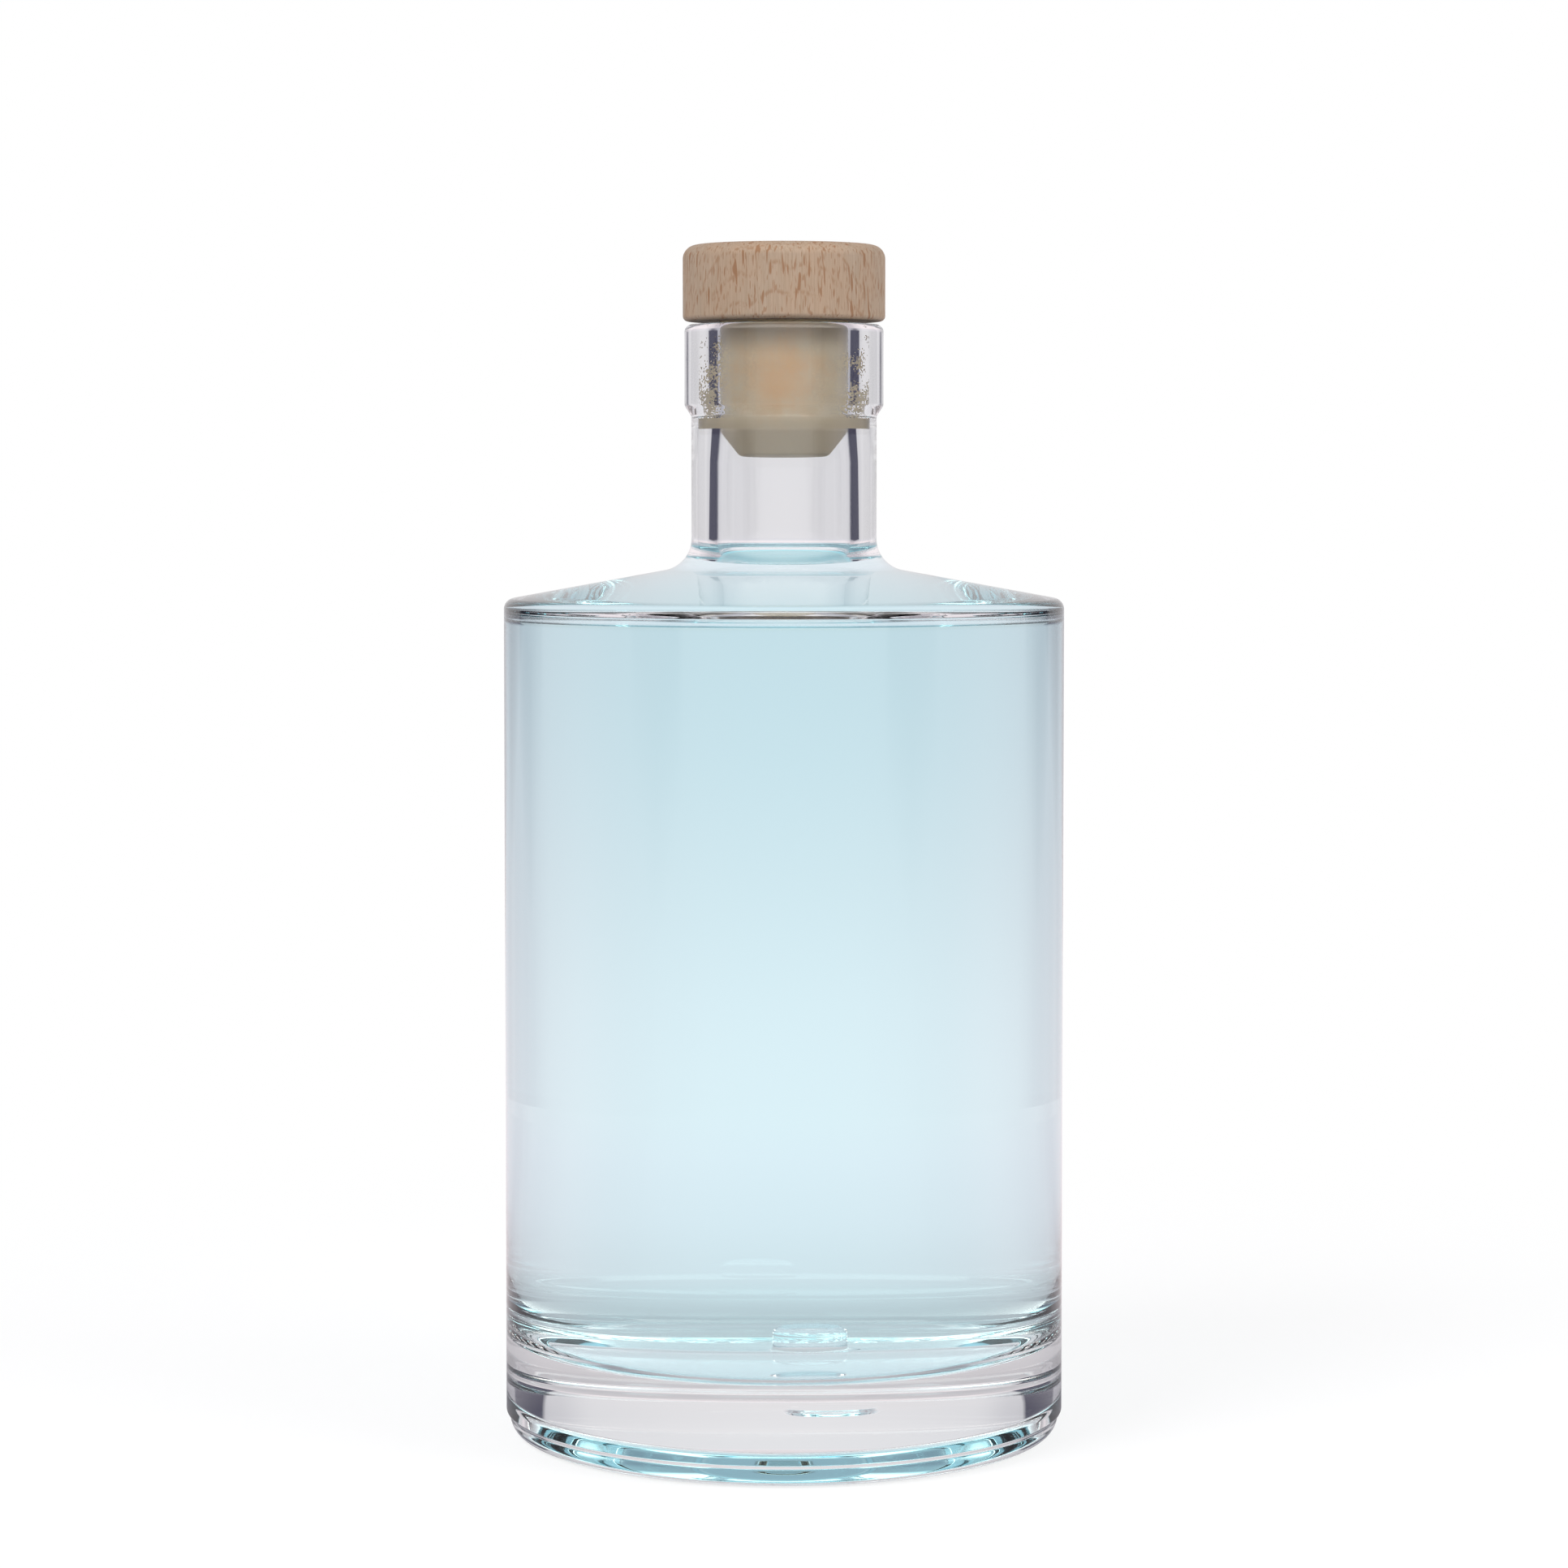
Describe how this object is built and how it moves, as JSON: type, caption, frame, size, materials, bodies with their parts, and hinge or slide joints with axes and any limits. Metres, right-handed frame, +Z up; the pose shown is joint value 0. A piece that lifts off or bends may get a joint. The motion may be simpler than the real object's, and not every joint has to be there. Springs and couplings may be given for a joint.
{
  "type": "glass bottle",
  "caption": "Clear cylindrical glass bottle with a heavy base and a wooden-headed push-in stopper, filled with pale blue liquid.",
  "frame": {"origin": "centre of the ring that the bottle stands on", "axes": "+Z up along the bottle's axis; the picture is taken looking along +Y, with +X to the right"},
  "size_m": [0.086, 0.086, 0.1827],
  "materials": {
    "clear_glass": "polished",
    "blue_liquid": "gloss",
    "beech": "matte",
    "shank_polymer": "satin"
  },
  "bodies": {
    "bottle": {"glass_bottle": "clear_glass", "liquid": "blue_liquid"},
    "stopper": {"wooden_head": "beech", "stopper_shank": "shank_polymer"}
  },
  "joints": [
    {"name": "stopper_pull", "type": "slide", "parent": "bottle", "child": "stopper", "axis": [0, 0, 1], "range_m": [0, 0.026]}
  ]
}
